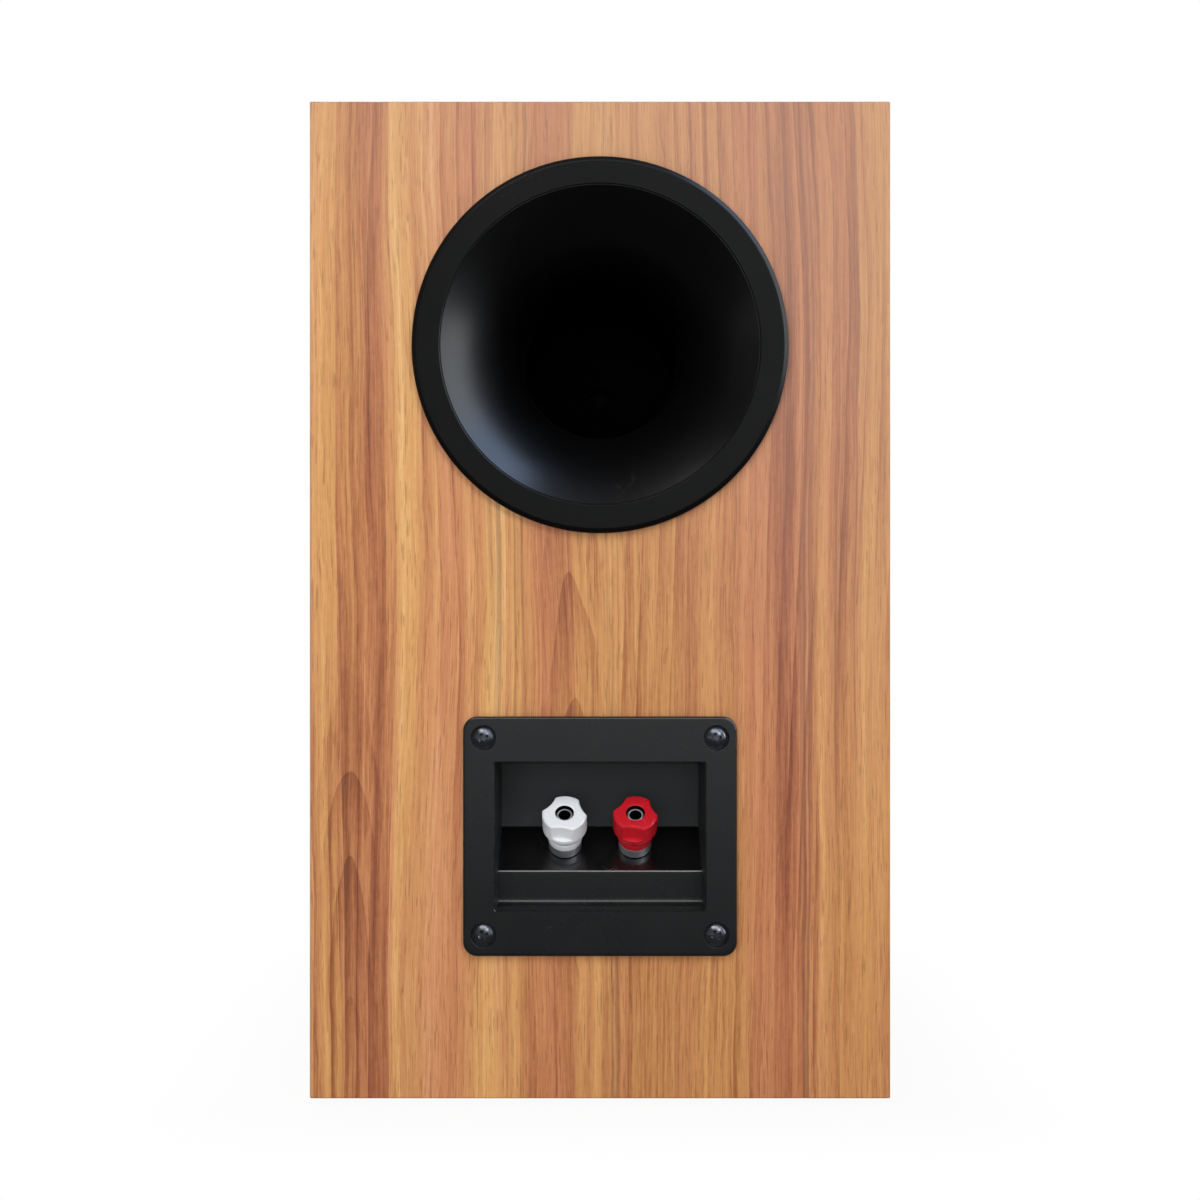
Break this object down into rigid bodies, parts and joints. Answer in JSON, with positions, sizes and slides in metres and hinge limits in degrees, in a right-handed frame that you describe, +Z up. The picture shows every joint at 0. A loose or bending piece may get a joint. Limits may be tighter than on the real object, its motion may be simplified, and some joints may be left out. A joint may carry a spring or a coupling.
{
  "type": "bookshelf speaker",
  "caption": "Rear-ported two-way bookshelf loudspeaker in a wood-finish cabinet, with an angled terminal cup, screw-down binding posts and a pull-off cloth grille.",
  "frame": {"origin": "under the feet, at the middle of the cabinet's width and of its overall depth", "axes": "+Z up; -Y is the front with the grille and drivers; +Y is the rear with the port and terminals; +X is the right-hand side seen from the front"},
  "size_m": [0.17, 0.238, 0.2945],
  "materials": {
    "walnut_wrap": "satin vinyl wood wrap, vertical grain",
    "black_board": "satin black painted fibreboard",
    "bare_board": "raw fibreboard",
    "foot_rubber": "soft matt rubber",
    "cup_plastic": "satin black moulded plastic",
    "port_plastic": "semi-gloss black moulded plastic",
    "black_screw": "glossy black plated screw",
    "white_cap": "white moulded plastic",
    "red_cap": "red moulded plastic",
    "nickel": "satin nickel plate",
    "brass": "bare brass",
    "zinc_steel": "zinc plated steel",
    "ferrite": "dark grey ceramic magnet",
    "copper_wire": "enamelled copper wire",
    "cone_pulp": "matt black treated cone",
    "roll_rubber": "satin black rubber roll",
    "spider_cloth": "resin-treated woven cloth",
    "dome_silk": "coated black silk",
    "grille_cloth": "black knitted grille cloth",
    "circuit_board": "green circuit board",
    "component_body": "sleeved film capacitor",
    "resistor_cement": "white cement resistor",
    "wadding": "polyester wadding"
  },
  "bodies": {
    "cabinet": {"port_flare": "port_plastic", "woofer_basket": "cup_plastic", "terminal_cup": "cup_plastic", "woofer_surround": "roll_rubber", "tweeter_faceplate": "cup_plastic", "front_baffle": "black_board", "woofer_spider": "spider_cloth", "rear_panel": "walnut_wrap", "tweeter_surround": "dome_silk", "port_tube": "port_plastic", "woofer_inductor": "copper_wire", "woofer_magnet": "ferrite", "plate_screw_1": "black_screw", "plate_screw_2": "black_screw", "plate_screw_3": "black_screw", "plate_screw_4": "black_screw", "crossover_board": "circuit_board", "woofer_yoke": "zinc_steel", "tweeter_yoke": "zinc_steel", "white_post_collar": "nickel", "red_post_collar": "nickel", "white_post_stud": "nickel", "red_post_stud": "nickel", "window_brace": "bare_board", "woofer_top_plate": "zinc_steel", "tweeter_top_plate": "zinc_steel", "tweeter_magnet": "ferrite", "lower_left_peg_socket": "foot_rubber", "lower_right_peg_socket": "foot_rubber", "upper_left_peg_socket": "foot_rubber", "upper_right_peg_socket": "foot_rubber", "white_post_tag": "brass", "red_post_tag": "brass", "front_left_foot": "foot_rubber", "front_right_foot": "foot_rubber", "rear_left_foot": "foot_rubber", "rear_right_foot": "foot_rubber", "white_post_nut": "zinc_steel", "red_post_nut": "zinc_steel", "tweeter_capacitor": "component_body", "left_panel": "walnut_wrap", "right_panel": "walnut_wrap", "top_panel": "walnut_wrap", "bottom_panel": "walnut_wrap", "left_padding": "wadding", "right_padding": "wadding", "tweeter_resistor": "resistor_cement"},
    "grille": {"grille_frame": "cup_plastic", "grille_cloth": "grille_cloth"},
    "red_insert": {"red_post_insert": "brass"},
    "red_cap": {"red_post_cap": "red_cap"},
    "white_insert": {"white_post_insert": "brass"},
    "white_cap": {"white_post_cap": "white_cap"},
    "woofer_diaphragm": {"woofer_cone": "cone_pulp", "woofer_dust_cap": "cone_pulp", "woofer_voice_coil": "copper_wire"},
    "tweeter_diaphragm": {"tweeter_dome": "dome_silk", "tweeter_voice_coil": "copper_wire"}
  },
  "joints": [
    {"name": "grille_pull", "type": "slide", "parent": "cabinet", "child": "grille", "axis": [0, -1, 0], "range_m": [0, 0.02]},
    {"name": "woofer_stroke", "type": "slide", "parent": "cabinet", "child": "woofer_diaphragm", "axis": [0, -1, 0], "range_m": [-0.005, 0.005], "stiffness_N_per_m": 1200, "deforming": ["woofer_surround", "woofer_spider"]},
    {"name": "tweeter_stroke", "type": "slide", "parent": "cabinet", "child": "tweeter_diaphragm", "axis": [0, -1, 0], "range_m": [-0.0003, 0.0003], "stiffness_N_per_m": 200, "deforming": ["tweeter_surround"]},
    {"name": "red_cap_lift", "type": "slide", "parent": "cabinet", "child": "red_insert", "axis": [0, 0.7071, 0.7071], "range_m": [0, 0.0042]},
    {"name": "red_cap_turn", "type": "hinge", "parent": "red_insert", "child": "red_cap", "pos_m": [-0.01045, 0.10151, 0.07479], "axis": [0, 0.7071, 0.7071], "range_deg": [0, 2160]},
    {"name": "white_cap_lift", "type": "slide", "parent": "cabinet", "child": "white_insert", "axis": [0, 0.7071, 0.7071], "range_m": [0, 0.0042]},
    {"name": "white_cap_turn", "type": "hinge", "parent": "white_insert", "child": "white_cap", "pos_m": [0.01045, 0.10151, 0.07479], "axis": [0, 0.7071, 0.7071], "range_deg": [0, 2160]}
  ],
  "couplings": [
    {"joint": "red_cap_turn", "follows": "red_cap_lift", "rad_per_m": 8976},
    {"joint": "white_cap_turn", "follows": "white_cap_lift", "rad_per_m": 8976}
  ]
}
